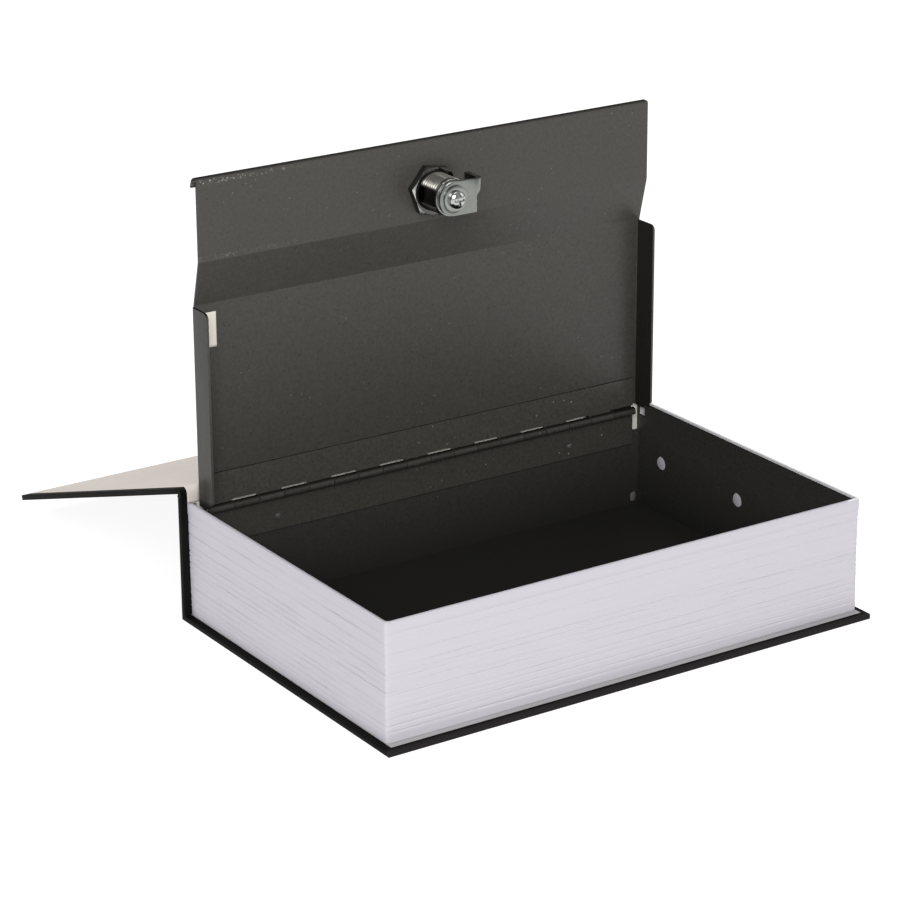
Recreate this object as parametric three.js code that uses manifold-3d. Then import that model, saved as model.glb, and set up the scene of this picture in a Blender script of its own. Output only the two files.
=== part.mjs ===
// A book diversion safe: a hard case bound like a book, a moulded block of
// false pages, and inside it a folded steel tray whose hinged lid carries a
// key cam lock. It is shown open: the lid stands upright on its piano hinge
// and the front cover lies back behind the spine.
//
// Millimetres. X runs along the spine, Y from the fore-edge to the spine, Z up.
// The origin is the centre of the back cover's underside.

import * as THREE from 'three';
import { mergeVertices } from 'three/addons/utils/BufferGeometryUtils.js';
import Module from 'manifold-3d';

// Book case
const caseLength = 240;
const caseDepth = 162.4;
const spineTop = 55;
const boardThickness = 1.5;
const spineBoardThickness = 1.9;
const clothThickness = 0.35;
const turnInWidth = 15;
const paperThickness = 0.15;
const paperMargin = 3;
const glueLine = 0.1;

// Front cover, given closed, and its swing
const coverAngle = 198.7;
const coverAxisInset = 2.35;
const coverAxisRise = 1.9;
const coverTopRise = 1.5;
const coverJointWidth = 4.7;
const creaseInset = 0.3;

// Page block
const pageSquareFore = 5.9;
const pageSquareEnd = 3;
const pageTop = 53;
const pageWall = 1.7;
const pageSpineWall = 1.6;
const pageCornerRadius = 1.6;
const pageSpineCornerRadius = 0.4;
const pageBandHeight = 5;
const pageBandProud = 0.5;
const pageGrooveDepth = 0.45;
const pageGrooveWidth = 0.5;
const pageGroovePitch = 2.7;
const pageGrooveUnevenness = 0.3;
const pagePitchPhase = 2.4;
const pageDepthUnevenness = 0.25;
const pageDepthPhase = 2.1;
const pageFootBand = 1;
const pegRadius = 3.1;
const pegSpacing = 55.1;
const pegMiddleY = 3.3;
const pegHeight = 27.7;
const pegCount = 3;
const pegRecess = 0.3;

// Steel tray
const traySheet = 1;
const trayClearance = 0.1;
const trayRimDrop = 0.6;
const trayCornerRadius = 0.6;
const pegHoleClearance = 0.3;
const reliefRadius = 2;
const reliefLength = 1.2;
const reliefRise = 2.6;
const slitWidth = 4;
const slitDepth = 13.2;
const rimNotchLength = 4.6;
const rimNotchDepth = 6;
const backRimRise = 0.5;

// Piano hinge
const barrelRadius = 1.8;
const hingePinRadius = 0.8;
const hingePinClearance = 0.3;
const hingeBelowRim = 2.9;
const leafThickness = 0.8;
const hingeEndInset = 2.75;
const knucklePairs = 9;
const knuckleGap = 0.4;
const knuckleNotch = 2.3;
const boxLeafDepth = 16.3;
const lidLeafHeight = 15.3;
const hingeRivetInset = 34.65;
const hingeRivetDrop = 10.5;
const hingeRivetRadius = 0.9;
const hingeRivetHeadRadius = 1.4;
const hingeRivetHeadHeight = 0.6;
const rivetClearance = 0.3;

// Lid, measured from the hinge axis with the lid upright
const lidSideGap = 1.2;
const lidFrontGap = 2.3;
const lidSheet = 1;
const lidSwingClearance = 0.2;
const lidPanelStart = 2.6;
const lidSlopeHeight = 19.3;
const lidLockHeight = 35.5;
const lidStep = 4.9;
const lidBendRadius = 0.6;
const lidCornerRadius = 1.6;
const hemOverhang = 1;
const hemRadius = 1.3;
const hemLean = 20;
const hemWidth = 3.5;
const flangeDepth = 11.4;
const flangeStart = 2.3;
const flangeBelowBend = 0.6;
const flangeCornerRadius = 2.5;
const flangeChamferDepth = 4.8;
const flangeChamferHeight = 3.9;

// Cam lock, measured from the lid's inner face
const lockSlopeGap = 2.2;
const lockHeadRadius = 11;
const lockHeadHeight = 2.4;
const lockHeadChamfer = 1;
const lockBarrelRadius = 8.3;
const lockBarrelLength = 15;
const lockFlatHalf = 7.1;
const lockHoleClearance = 0.3;
const lockRunningClearance = 0.3;
const lockBackGap = 0.1;
const plugRadius = 6;
const plugHeadRadius = 7.2;
const plugHeadHeight = 1.4;
const plugHeadChamfer = 0.4;
const keywayWidth = 2;
const keywayHeight = 8;
const keywayDepth = 13;
const waferCount = 5;
const waferStart = 1;
const waferEndGap = 5.6;
const waferThickness = 0.8;
const waferWidth = 6.6;
const waferSlotClearance = 0.3;
const waferEdgeGap = 0.1;
const waferWindowMargin = 0.2;
const waferWindowHeight = 6;
const nutAcrossFlats = 20.3;
const nutThickness = 3.7;
const nutTurn = -9.8;
const nutChamferSlope = 0.25;
const stopWasherRadius = 8;
const stopWasherThickness = 1;
const camThickness = 2;
const camRadius = 7.4;
const camReach = 11;
const camShoulder = 6.7;
const camBendRadius = 2;
const camTabLow = -0.2;
const camTabRise = 4;
const camTabLength = 12.4;
const camTangSize = 6.4;
const tangClearance = 0.3;
const tangRecess = 0.2;
const camWasherRadius = 5.5;
const camWasherThickness = 0.8;
const screwHeadRadius = 3.85;
const screwHeadHeight = 3.2;
const screwCrownHeight = 1.9;
const screwShankRadius = 1.7;
const screwShankLength = 9;
const screwHoleClearance = 0.3;
const screwSlotLength = 5;
const screwSlotWidth = 1.1;
const screwSlotDepth = 1.4;

// Strike channel on the tray's front wall
const strikeSheet = 1;
const strikeHookClearance = 0.4;
const strikeEdgeMargin = 1.5;
const strikeSeatDepth = 8;
const strikeSeatClearance = 0.3;
const strikeEndGap = 6.2;

// How finely curves are divided, and how far a cut runs past what it opens
const roundSegments = 32;
const holeSegments = 24;
const smallSegments = 16;
const arcSegments = 6;
const cutOver = 1;

// Places worked out from the sizes above
const halfLength = caseLength / 2;
const halfDepth = caseDepth / 2;
const skinThickness = clothThickness + glueLine;
const windowDepth = 2 * clothThickness;
const coverThickness = boardThickness + 2 * skinThickness;
const spineThickness = spineBoardThickness + 2 * skinThickness;
const spineInnerY = halfDepth - spineThickness;
const paperTop = coverThickness + glueLine + paperThickness;
const blockBottom = paperTop + glueLine;

const pageHalfLength = halfLength - pageSquareEnd;
const pageFrontY = -halfDepth + pageSquareFore;
const pageBackY = spineInnerY - glueLine;
const pageBand = pageTop - pageBandHeight;

const trayHalfLength = pageHalfLength - pageWall - trayClearance;
const trayInnerHalf = trayHalfLength - traySheet;
const trayFrontY = pageFrontY + pageWall + trayClearance;
const trayBackY = pageBackY - pageSpineWall - trayClearance;
const trayInnerFrontY = trayFrontY + traySheet;
const trayInnerBackY = trayBackY - traySheet;
const trayFloor = blockBottom + traySheet;
const trayRim = pageTop - trayRimDrop;

const hingeY = trayInnerBackY - barrelRadius;
const hingeZ = trayRim - hingeBelowRim;
const trayBackRim = hingeZ + backRimRise;

const lidHalf = trayInnerHalf - lidSideGap;
const lidTop = hingeY - trayInnerFrontY - lidFrontGap;
const lidSlopeTop = lidTop - lidLockHeight;
const lidMainTop = lidSlopeTop - lidSlopeHeight;
const flangeTop = lidMainTop - flangeBelowBend;
const lidInnerY = barrelRadius - lidSwingClearance;
const lockFaceY = lidInnerY - lidStep;
const lockRise = lidSlopeTop + lockHeadRadius + lockSlopeGap;

const hingeHalf = lidHalf - hingeEndInset;
const knucklePitch = hingeHalf / knucklePairs;
const waferPitch = (lockBarrelLength - waferStart - waferEndGap) / (waferCount - 1);
const plugFront = lidSheet + lockHeadHeight;
const stopWasherBack = -lockBarrelLength - lockBackGap;
const camBack = stopWasherBack - stopWasherThickness;
const camFront = camBack - camThickness;
const camTabReach = camReach + camBendRadius + camThickness;

const coverAxisY = halfDepth - coverAxisInset;
const coverAxisHeight = spineTop + coverAxisRise;
const closedJointY = halfDepth - coverJointWidth;
const strikeUnderside = hingeZ + lockFaceY + camFront + camTabLength + strikeHookClearance;
const strikeSeatTop = hingeZ + lockFaceY - strikeSeatClearance;
const strikeHalf = trayInnerHalf - strikeEndGap;
const strikeEdgeY = hingeY - lockRise - camTabReach + camThickness + strikeEdgeMargin;

const wasm = await Module();
wasm.setup();

// Solids

function signedVolume(position, index) {
  const a = new THREE.Vector3();
  const b = new THREE.Vector3();
  const c = new THREE.Vector3();
  let sum = 0;
  for (let i = 0; i < index.count; i += 3) {
    a.fromBufferAttribute(position, index.getX(i));
    b.fromBufferAttribute(position, index.getX(i + 1));
    c.fromBufferAttribute(position, index.getX(i + 2));
    sum += a.dot(b.cross(c)) / 6;
  }
  return sum;
}

function toSolid(geometry) {
  const plain = geometry.clone();
  plain.deleteAttribute('normal');
  plain.deleteAttribute('uv');
  const merged = mergeVertices(plain, 1e-5);
  const vertProperties = new Float32Array(merged.attributes.position.array);
  const triVerts = new Uint32Array(merged.index.array);
  if (signedVolume(merged.attributes.position, merged.index) < 0) {
    for (let i = 0; i < triVerts.length; i += 3) {
      [triVerts[i], triVerts[i + 1]] = [triVerts[i + 1], triVerts[i]];
    }
  }
  return new wasm.Manifold(new wasm.Mesh({ numProp: 3, vertProperties, triVerts }));
}

function toGeometry(solid) {
  const mesh = solid.getMesh();
  const geometry = new THREE.BufferGeometry();
  geometry.setAttribute('position', new THREE.BufferAttribute(mesh.vertProperties, 3));
  geometry.setIndex(new THREE.BufferAttribute(mesh.triVerts, 1));
  geometry.computeVertexNormals();
  return geometry;
}

function box(low, high) {
  const size = high.map((value, axis) => value - low[axis]);
  const geometry = new THREE.BoxGeometry(...size);
  geometry.translate(...low.map((value, axis) => value + size[axis] / 2));
  return toSolid(geometry);
}

// Extrudes an outline along one axis. The outline's two coordinates are (Y, Z)
// along X, (X, Z) along Y and (X, Y) along Z.
function prism(axis, points, from, to) {
  const shape = new THREE.Shape(points.map(([u, v]) => new THREE.Vector2(u, v)));
  const geometry = new THREE.ExtrudeGeometry(shape, {
    depth: to - from,
    bevelEnabled: false,
  });
  geometry.translate(0, 0, from);
  const frames = {
    x: [new THREE.Vector3(0, 1, 0), new THREE.Vector3(0, 0, 1), new THREE.Vector3(1, 0, 0)],
    y: [new THREE.Vector3(1, 0, 0), new THREE.Vector3(0, 0, 1), new THREE.Vector3(0, 1, 0)],
    z: [new THREE.Vector3(1, 0, 0), new THREE.Vector3(0, 1, 0), new THREE.Vector3(0, 0, 1)],
  };
  geometry.applyMatrix4(new THREE.Matrix4().makeBasis(...frames[axis]));
  return toSolid(geometry);
}

// A turned solid about the Y axis through (x, z); profile points are (radius, y).
function turned(profile, x = 0, z = 0, segments = roundSegments) {
  const points = profile.map(([r, y]) => new THREE.Vector2(r, y));
  const geometry = new THREE.LatheGeometry(points, segments);
  geometry.translate(x, 0, z);
  return toSolid(geometry);
}

function rod(axis, radius, from, to, centre, segments = roundSegments) {
  const geometry = new THREE.CylinderGeometry(radius, radius, to - from, segments);
  geometry.translate(0, (from + to) / 2, 0);
  if (axis === 'x') {
    geometry.rotateZ(-Math.PI / 2);
    geometry.translate(0, centre[0], centre[1]);
  } else {
    geometry.translate(centre[0], 0, centre[1]);
  }
  return toSolid(geometry);
}

// Outlines

function arc(centre, radius, fromDegrees, toDegrees, segments = arcSegments) {
  const points = [];
  for (let i = 0; i <= segments; i += 1) {
    const angle = THREE.MathUtils.degToRad(
      THREE.MathUtils.lerp(fromDegrees, toDegrees, i / segments));
    points.push([centre[0] + radius * Math.cos(angle), centre[1] + radius * Math.sin(angle)]);
  }
  return points;
}

// The half profile of a domed head: from its middle at height top to its edge.
function crown(radius, height, top) {
  return arc([0, 0], 1, 90, 0).map(([across, up]) => [
    radius * across, top + height * (1 - up)]);
}

// A rectangle whose two low-Y corners are round and whose other two take a
// radius of their own.
function roundedRectangle(x0, y0, x1, y1, lowRadius, highRadius) {
  const corner = (x, y, radius, start) => (radius > 0
    ? arc([x, y], radius, start, start + 90)
    : [[x, y]]);
  return [
    ...corner(x0 + lowRadius, y0 + lowRadius, lowRadius, 180),
    ...corner(x1 - lowRadius, y0 + lowRadius, lowRadius, 270),
    ...corner(x1 - highRadius, y1 - highRadius, highRadius, 0),
    ...corner(x0 + highRadius, y1 - highRadius, highRadius, 90),
  ];
}

// Rounds the inner points of an open line with the given radius.
function roundLine(points, radius) {
  const line = [points[0]];
  for (let i = 1; i < points.length - 1; i += 1) {
    const here = new THREE.Vector2(...points[i]);
    const back = new THREE.Vector2(...points[i - 1]).sub(here);
    const ahead = new THREE.Vector2(...points[i + 1]).sub(here);
    const half = Math.acos(THREE.MathUtils.clamp(
      back.clone().normalize().dot(ahead.clone().normalize()), -1, 1)) / 2;
    const reach = Math.min(radius / Math.tan(half), back.length() / 2, ahead.length() / 2);
    const start = here.clone().addScaledVector(back.normalize(), reach);
    const end = here.clone().addScaledVector(ahead.normalize(), reach);
    const bend = new THREE.QuadraticBezierCurve(start, here, end);
    line.push(...bend.getPoints(arcSegments).map((p) => [p.x, p.y]));
  }
  line.push(points[points.length - 1]);
  return line;
}

// The outline of a sheet of one thickness that lies to the left of a line.
function sheetOutline(line, thickness) {
  const points = line.map(([u, v]) => new THREE.Vector2(u, v));
  const directions = points.slice(1).map((p, i) => p.clone().sub(points[i]).normalize());
  const far = points.map((p, i) => {
    const before = directions[Math.max(i - 1, 0)];
    const after = directions[Math.min(i, directions.length - 1)];
    const middle = before.clone().add(after).normalize();
    const length = thickness / middle.dot(after);
    return [p.x - middle.y * length, p.y + middle.x * length];
  });
  return [...line, ...far.reverse()];
}

// Book case

// Cloth is wrapped round each board: a cavity that the board fills, and a window
// on the inner face that the turned-in cloth leaves open.
function caseCloth() {
  const backOuter = box([-halfLength, -halfDepth, 0], [halfLength, halfDepth, coverThickness]);
  const spineOuter = box([-halfLength, spineInnerY, 0], [halfLength, halfDepth, spineTop]);
  const backCavity = box(
    [-halfLength + clothThickness, -halfDepth + clothThickness, clothThickness],
    [halfLength - clothThickness, spineInnerY - clothThickness,
      coverThickness - clothThickness]);
  const backWindow = box(
    [-halfLength + turnInWidth, -halfDepth + turnInWidth, coverThickness - windowDepth],
    [halfLength - turnInWidth, spineInnerY - turnInWidth, coverThickness + cutOver]);
  const spineCavity = box(
    [-halfLength + clothThickness, spineInnerY + clothThickness,
      coverThickness + clothThickness],
    [halfLength - clothThickness, halfDepth - clothThickness, spineTop - clothThickness]);
  const spineWindow = box(
    [-halfLength + turnInWidth, spineInnerY - cutOver, coverThickness + turnInWidth],
    [halfLength - turnInWidth, spineInnerY + windowDepth, spineTop - turnInWidth]);
  return backOuter.add(spineOuter)
    .subtract(backCavity).subtract(backWindow)
    .subtract(spineCavity).subtract(spineWindow);
}

function backBoard() {
  return box(
    [-halfLength + skinThickness, -halfDepth + skinThickness, skinThickness],
    [halfLength - skinThickness, spineInnerY - skinThickness, coverThickness - skinThickness]);
}

function spineBoard() {
  return box(
    [-halfLength + skinThickness, spineInnerY + skinThickness,
      coverThickness + skinThickness],
    [halfLength - skinThickness, halfDepth - skinThickness, spineTop - skinThickness]);
}

function backEndpaper() {
  return box(
    [-halfLength + paperMargin, -halfDepth + paperMargin, coverThickness + glueLine],
    [halfLength - paperMargin, spineInnerY - glueLine, paperTop]);
}

// The front cover is drawn closed, about its own axis, and swung open as a group.
const coverStartY = closedJointY - coverAxisY;
const coverForeY = -halfDepth - coverAxisY;
const coverOuterZ = coverTopRise - coverAxisRise;
const coverInnerZ = coverOuterZ - coverThickness;

function frontCloth() {
  const outer = box(
    [-halfLength, coverForeY, coverInnerZ], [halfLength, coverStartY, coverOuterZ]);
  const cavity = box(
    [-halfLength + clothThickness, coverForeY + clothThickness,
      coverInnerZ + clothThickness],
    [halfLength - clothThickness, coverStartY - clothThickness,
      coverOuterZ - clothThickness]);
  const window = box(
    [-halfLength + turnInWidth, coverForeY + turnInWidth, coverInnerZ - cutOver],
    [halfLength - turnInWidth, coverStartY - turnInWidth, coverInnerZ + windowDepth]);
  return outer.subtract(cavity).subtract(window);
}

function frontBoard() {
  return box(
    [-halfLength + skinThickness, coverForeY + skinThickness, coverInnerZ + skinThickness],
    [halfLength - skinThickness, coverStartY - skinThickness, coverOuterZ - skinThickness]);
}

function frontEndpaper() {
  return box(
    [-halfLength + paperMargin, coverForeY + paperMargin,
      coverInnerZ - glueLine - paperThickness],
    [halfLength - paperMargin, coverStartY, coverInnerZ - glueLine]);
}

// The joint is drawn where it lies with the cover swung open.
function swungOpen([y, z]) {
  const point = new THREE.Vector2(y, z)
    .rotateAround(new THREE.Vector2(), THREE.MathUtils.degToRad(-coverAngle));
  return [point.x + coverAxisY, point.y + coverAxisHeight];
}

const coverDroop = coverAngle - 180;
const [jointEndY, jointEndZ] = swungOpen([coverStartY, coverOuterZ]);
const crease = [
  jointEndY - creaseInset * Math.cos(THREE.MathUtils.degToRad(coverDroop)),
  jointEndZ + creaseInset * Math.sin(THREE.MathUtils.degToRad(coverDroop)),
];
const jointRadius = crease[0] - spineInnerY;

function frontJoint() {
  return prism('x', [
    [spineInnerY, spineTop + glueLine],
    [halfDepth, spineTop + glueLine],
    [halfDepth, crease[1] - creaseInset],
    crease,
    ...arc(crease, jointRadius, 90 - coverDroop, 180),
  ], -halfLength, halfLength);
}

function jointPaper() {
  const inner = jointRadius + glueLine;
  const outer = inner + paperThickness;
  return prism('x', [
    [crease[0] - inner, pageTop + glueLine],
    ...arc(crease, inner, 180, 90 - coverDroop),
    ...arc(crease, outer, 90 - coverDroop, 180),
    [crease[0] - outer, pageTop + glueLine],
  ], -halfLength + paperMargin, halfLength - paperMargin);
}

// Page block

// The heights and insets of the block's outer skin: a smooth band at the top,
// then grooves at an uneven pitch down to the foot.
function pageSkin() {
  const rings = [[pageTop, 0], [pageBand, 0], [pageBand, pageBandProud]];
  let height = pageBand - pageGroovePitch;
  let count = 0;
  while (height - pageGrooveWidth > blockBottom + pageFootBand) {
    const share = 1 - pageDepthUnevenness * (1 - Math.sin(pageDepthPhase * count));
    const deep = pageBandProud + pageGrooveDepth * share;
    rings.push(
      [height, pageBandProud],
      [height - pageGrooveWidth / 2, deep],
      [height - pageGrooveWidth, pageBandProud]);
    height -= pageGroovePitch * (1 + pageGrooveUnevenness * Math.sin(pagePitchPhase * count));
    count += 1;
  }
  rings.push([blockBottom, pageBandProud]);
  return rings;
}

// Joins rings of one point count, given top to bottom, into a closed solid.
function loft(rings) {
  const size = rings[0].length;
  const positions = rings.flat(2);
  const triangles = [];
  for (let r = 0; r < rings.length - 1; r += 1) {
    for (let i = 0; i < size; i += 1) {
      const next = (i + 1) % size;
      const a = r * size + i;
      const b = r * size + next;
      const c = a + size;
      const d = b + size;
      triangles.push(a, c, b, b, c, d);
    }
  }
  const last = (rings.length - 1) * size;
  for (let i = 1; i < size - 1; i += 1) {
    triangles.push(0, i, i + 1);
    triangles.push(last, last + i + 1, last + i);
  }
  const geometry = new THREE.BufferGeometry();
  geometry.setAttribute('position', new THREE.Float32BufferAttribute(positions, 3));
  geometry.setIndex(triangles);
  return toSolid(geometry);
}

function pegCentres() {
  const centres = [];
  for (let i = 0; i < pegCount; i += 1) {
    centres.push([pegMiddleY + (i - (pegCount - 1) / 2) * pegSpacing, pegHeight]);
  }
  return centres;
}

function pageBlock() {
  const skin = loft(pageSkin().map(([height, inset]) => roundedRectangle(
    -pageHalfLength + inset, pageFrontY + inset, pageHalfLength - inset, pageBackY,
    pageCornerRadius, pageSpineCornerRadius).map(([x, y]) => [x, y, height])));
  const innerHalf = pageHalfLength - pageWall;
  const hollow = prism('z', roundedRectangle(
    -innerHalf, pageFrontY + pageWall, innerHalf, pageBackY - pageSpineWall,
    trayCornerRadius + traySheet + trayClearance, 0), blockBottom - cutOver, pageTop + cutOver);
  const pegEnd = trayInnerHalf + pegRecess;
  let block = skin.subtract(hollow);
  for (const centre of pegCentres()) {
    block = block
      .add(rod('x', pegRadius, pegEnd, innerHalf + pageWall / 2, centre, holeSegments))
      .add(rod('x', pegRadius, -innerHalf - pageWall / 2, -pegEnd, centre,
        holeSegments));
  }
  return block;
}

// Steel tray

// The back wall is lower than the others, so that the hinge stands clear of it.
function steelTray() {
  const outer = prism('z', roundedRectangle(
    -trayHalfLength, trayFrontY, trayHalfLength, trayBackY,
    trayCornerRadius + traySheet, 0), blockBottom, trayRim);
  const inner = prism('z', roundedRectangle(
    -trayInnerHalf, trayInnerFrontY, trayInnerHalf, trayInnerBackY,
    trayCornerRadius, 0), trayFloor, trayRim + cutOver);
  let tray = outer.subtract(inner);
  const holeRadius = pegRadius + pegHoleClearance;
  for (const centre of pegCentres()) {
    tray = tray
      .subtract(rod('x', holeRadius, trayInnerHalf - cutOver, trayHalfLength + cutOver,
        centre, holeSegments))
      .subtract(rod('x', holeRadius, -trayHalfLength - cutOver, -trayInnerHalf + cutOver,
        centre, holeSegments));
  }
  for (const side of [-1, 1]) {
    const slit = [side * trayInnerHalf, side * (trayInnerHalf - slitWidth)]
      .sort((a, b) => a - b);
    const wall = [side * (trayInnerHalf - cutOver), side * (trayHalfLength + cutOver)]
      .sort((a, b) => a - b);
    const reliefX = side * (trayInnerHalf - reliefRadius);
    const reliefZ = trayFloor + reliefRise;
    const relief = prism('y', [
      ...arc([reliefX, reliefZ], reliefRadius, 180, 360),
      ...arc([reliefX, reliefZ + reliefLength], reliefRadius, 0, 180),
    ], trayInnerBackY - cutOver, trayBackY + cutOver);
    tray = tray
      .subtract(box([slit[0], trayInnerBackY - cutOver, trayRim - slitDepth],
        [slit[1], trayBackY + cutOver, trayRim + cutOver]))
      .subtract(box([wall[0], trayInnerBackY - rimNotchLength, trayRim - rimNotchDepth],
        [wall[1], trayInnerBackY, trayRim + cutOver]))
      .subtract(relief);
  }
  for (const x of rivetPlaces()) {
    tray = tray.subtract(rod('y', hingeRivetRadius + rivetClearance,
      trayInnerBackY - cutOver, trayBackY + cutOver, [x, hingeZ - hingeRivetDrop],
      smallSegments));
  }
  const backRimHalf = trayInnerHalf - slitWidth / 2;
  return tray.subtract(box(
    [-backRimHalf, trayInnerBackY - cutOver, trayBackRim],
    [backRimHalf, trayBackY + cutOver, trayRim + cutOver]));
}

// A channel along the front wall: its upper leg carries the closed lid's edge
// and its lower leg is what the cam hooks under.
function strikeChannel() {
  const wallY = trayInnerFrontY;
  const line = [
    [strikeEdgeY, strikeUnderside],
    [wallY, strikeUnderside],
    [wallY, strikeSeatTop],
    [wallY + strikeSeatDepth, strikeSeatTop],
  ];
  return prism('x', sheetOutline(line.reverse(), strikeSheet),
    -strikeHalf, strikeHalf);
}

// Piano hinge

function rivetPlaces() {
  return [hingeRivetInset - hingeHalf, hingeHalf - hingeRivetInset];
}

// One leaf about the hinge axis: a strip that stands from it, cut back over the
// other leaf's knuckles, and every second knuckle rolled around the pin.
function hingeLeaf(firstKnuckle, direction, reach, backY) {
  const half = hingeHalf;
  const [low, high] = direction > 0 ? [knuckleNotch, reach] : [-reach, -knuckleNotch];
  const [tongueLow, tongueHigh] = direction > 0 ? [0, knuckleNotch] : [-knuckleNotch, 0];
  let leaf = box([-half, backY - leafThickness, low], [half, backY, high]);
  for (let i = firstKnuckle; i < 2 * knucklePairs; i += 2) {
    const from = -half + i * knucklePitch + knuckleGap / 2;
    const to = from + knucklePitch - knuckleGap;
    leaf = leaf
      .add(box([from, backY - leafThickness, tongueLow], [to, backY, tongueHigh]))
      .add(rod('x', barrelRadius, from, to, [0, 0], holeSegments));
  }
  return leaf.subtract(
    rod('x', hingePinRadius + hingePinClearance, -half - cutOver, half + cutOver, [0, 0],
      smallSegments));
}

function boxHingeLeaf() {
  let leaf = hingeLeaf(1, -1, boxLeafDepth, barrelRadius);
  for (const x of rivetPlaces()) {
    leaf = leaf.subtract(rod('y', hingeRivetRadius + rivetClearance,
      barrelRadius - leafThickness - cutOver, barrelRadius + cutOver, [x, -hingeRivetDrop],
      smallSegments));
  }
  return leaf;
}

function lidHingeLeaf() {
  return hingeLeaf(0, 1, lidLeafHeight, lidInnerY);
}

function hingePin() {
  return rod('x', hingePinRadius, -hingeHalf, hingeHalf, [0, 0], smallSegments);
}

// A dome head on the leaf, with its shank flush at the tray's outer face.
function hingeRivet(x) {
  const seat = trayInnerBackY - leafThickness;
  return turned([
    ...crown(hingeRivetHeadRadius, hingeRivetHeadHeight, seat - hingeRivetHeadHeight),
    [hingeRivetRadius, seat],
    [hingeRivetRadius, trayBackY],
    [0, trayBackY],
  ], x, hingeZ - hingeRivetDrop, smallSegments);
}

// Lid, about the hinge axis

// The panel's section: main panel, slope, lock panel, and the rim turned back
// over into a hem.
function lidSection() {
  const bend = roundLine([
    [lidInnerY, lidPanelStart],
    [lidInnerY, lidMainTop],
    [lockFaceY, lidSlopeTop],
    [lockFaceY, lidTop - hemRadius],
  ], lidBendRadius + lidSheet);
  const hem = arc([lockFaceY + hemRadius, lidTop - hemRadius], hemRadius, 180, hemLean);
  const [hemY, hemZ] = hem[hem.length - 1];
  const lean = THREE.MathUtils.degToRad(90 - hemLean);
  const hemEnd = [hemY + hemWidth * Math.cos(lean), hemZ - hemWidth * Math.sin(lean)];
  return sheetOutline([...bend, ...hem.slice(1), hemEnd].reverse(), lidSheet);
}

// The two side flanges and the bends that join them to the main panel.
function lidFlanges() {
  const half = lidHalf;
  const outerY = lidInnerY + lidSheet;
  const frontY = outerY - flangeDepth - lidSheet;
  const section = sheetOutline(roundLine([
    [half - lidSheet, frontY],
    [half - lidSheet, lidInnerY],
    [-half + lidSheet, lidInnerY],
    [-half + lidSheet, frontY],
  ].reverse(), lidBendRadius), lidSheet);
  return prism('z', section, flangeStart, flangeTop).intersect(prism('x', [
    [frontY + flangeChamferDepth, flangeStart],
    [lidInnerY - lidBendRadius, flangeStart],
    [lidInnerY - lidBendRadius, lidPanelStart],
    [outerY + cutOver, lidPanelStart],
    [outerY + cutOver, flangeTop],
    ...arc([frontY + flangeCornerRadius, flangeTop - flangeCornerRadius],
      flangeCornerRadius, 90, 180),
    [frontY, flangeStart + flangeChamferHeight],
  ], -half - cutOver, half + cutOver));
}

// The slope and the lock panel end a little inside the hem at the left.
function lidPanel() {
  const half = lidHalf;
  const cornerX = half - lidCornerRadius;
  const cornerZ = lidTop - lidCornerRadius;
  const face = [
    [-half, 0],
    [half, 0],
    ...arc([cornerX, cornerZ], lidCornerRadius, 0, 90),
    ...arc([-cornerX, cornerZ], lidCornerRadius, 90, 180),
  ];
  const bend = lidSheet + lidBendRadius;
  const inside = lockFaceY - cutOver;
  const outside = lidInnerY + lidSheet + cutOver;
  const notch = [
    [inside, flangeTop],
    [outside, flangeTop],
    [outside, lidSlopeTop],
    [lockFaceY + hemRadius, lidSlopeTop],
    [lockFaceY + hemRadius, lidTop - hemRadius],
    [inside, lidTop - hemRadius],
  ];
  let web = prism('x', lidSection(), -half, half)
    .intersect(prism('y', face, inside, outside))
    .subtract(prism('x', notch, -half - cutOver, hemOverhang - half));
  for (const side of [-1, 1]) {
    const corner = [side * (half - bend), side * (half + cutOver)].sort((a, b) => a - b);
    web = web
      .subtract(box([corner[0], lidInnerY - cutOver, 0], [corner[1], outside, flangeTop]));
  }
  const holeRadius = lockBarrelRadius + lockHoleClearance;
  const holeHalf = lockFlatHalf + lockHoleClearance;
  const holeBack = lockFaceY + lidSheet + cutOver;
  const hole = rod('y', holeRadius, inside, holeBack, [0, lockRise]).intersect(box(
    [-holeHalf, inside - cutOver, lockRise - holeRadius - cutOver],
    [holeHalf, holeBack + cutOver, lockRise + holeRadius + cutOver]));
  return web.add(lidFlanges()).subtract(hole);
}

// Cam lock. Y is measured from the lid's inner face, positive to the outside.

// The barrel has a flat on each side that keeps it from turning in the lid.
function lockBody() {
  const boreRadius = plugRadius + lockRunningClearance;
  const counterRadius = plugHeadRadius + lockRunningClearance;
  const counterFloor = plugFront - plugHeadHeight - lockRunningClearance;
  const past = lockBarrelRadius + cutOver;
  const barrelBack = -lockBarrelLength - cutOver;
  return turned([
    [boreRadius, -lockBarrelLength],
    [lockBarrelRadius, -lockBarrelLength],
    [lockBarrelRadius, lidSheet],
    [lockHeadRadius, lidSheet],
    [lockHeadRadius, plugFront - lockHeadChamfer],
    [lockHeadRadius - lockHeadChamfer, plugFront],
    [counterRadius, plugFront],
    [counterRadius, counterFloor],
    [boreRadius, counterFloor],
    [boreRadius, -lockBarrelLength],
  ])
    .subtract(box([lockFlatHalf, barrelBack, -past], [past, lidSheet, past]))
    .subtract(box([-past, barrelBack, -past], [-lockFlatHalf, lidSheet, past]));
}

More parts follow.
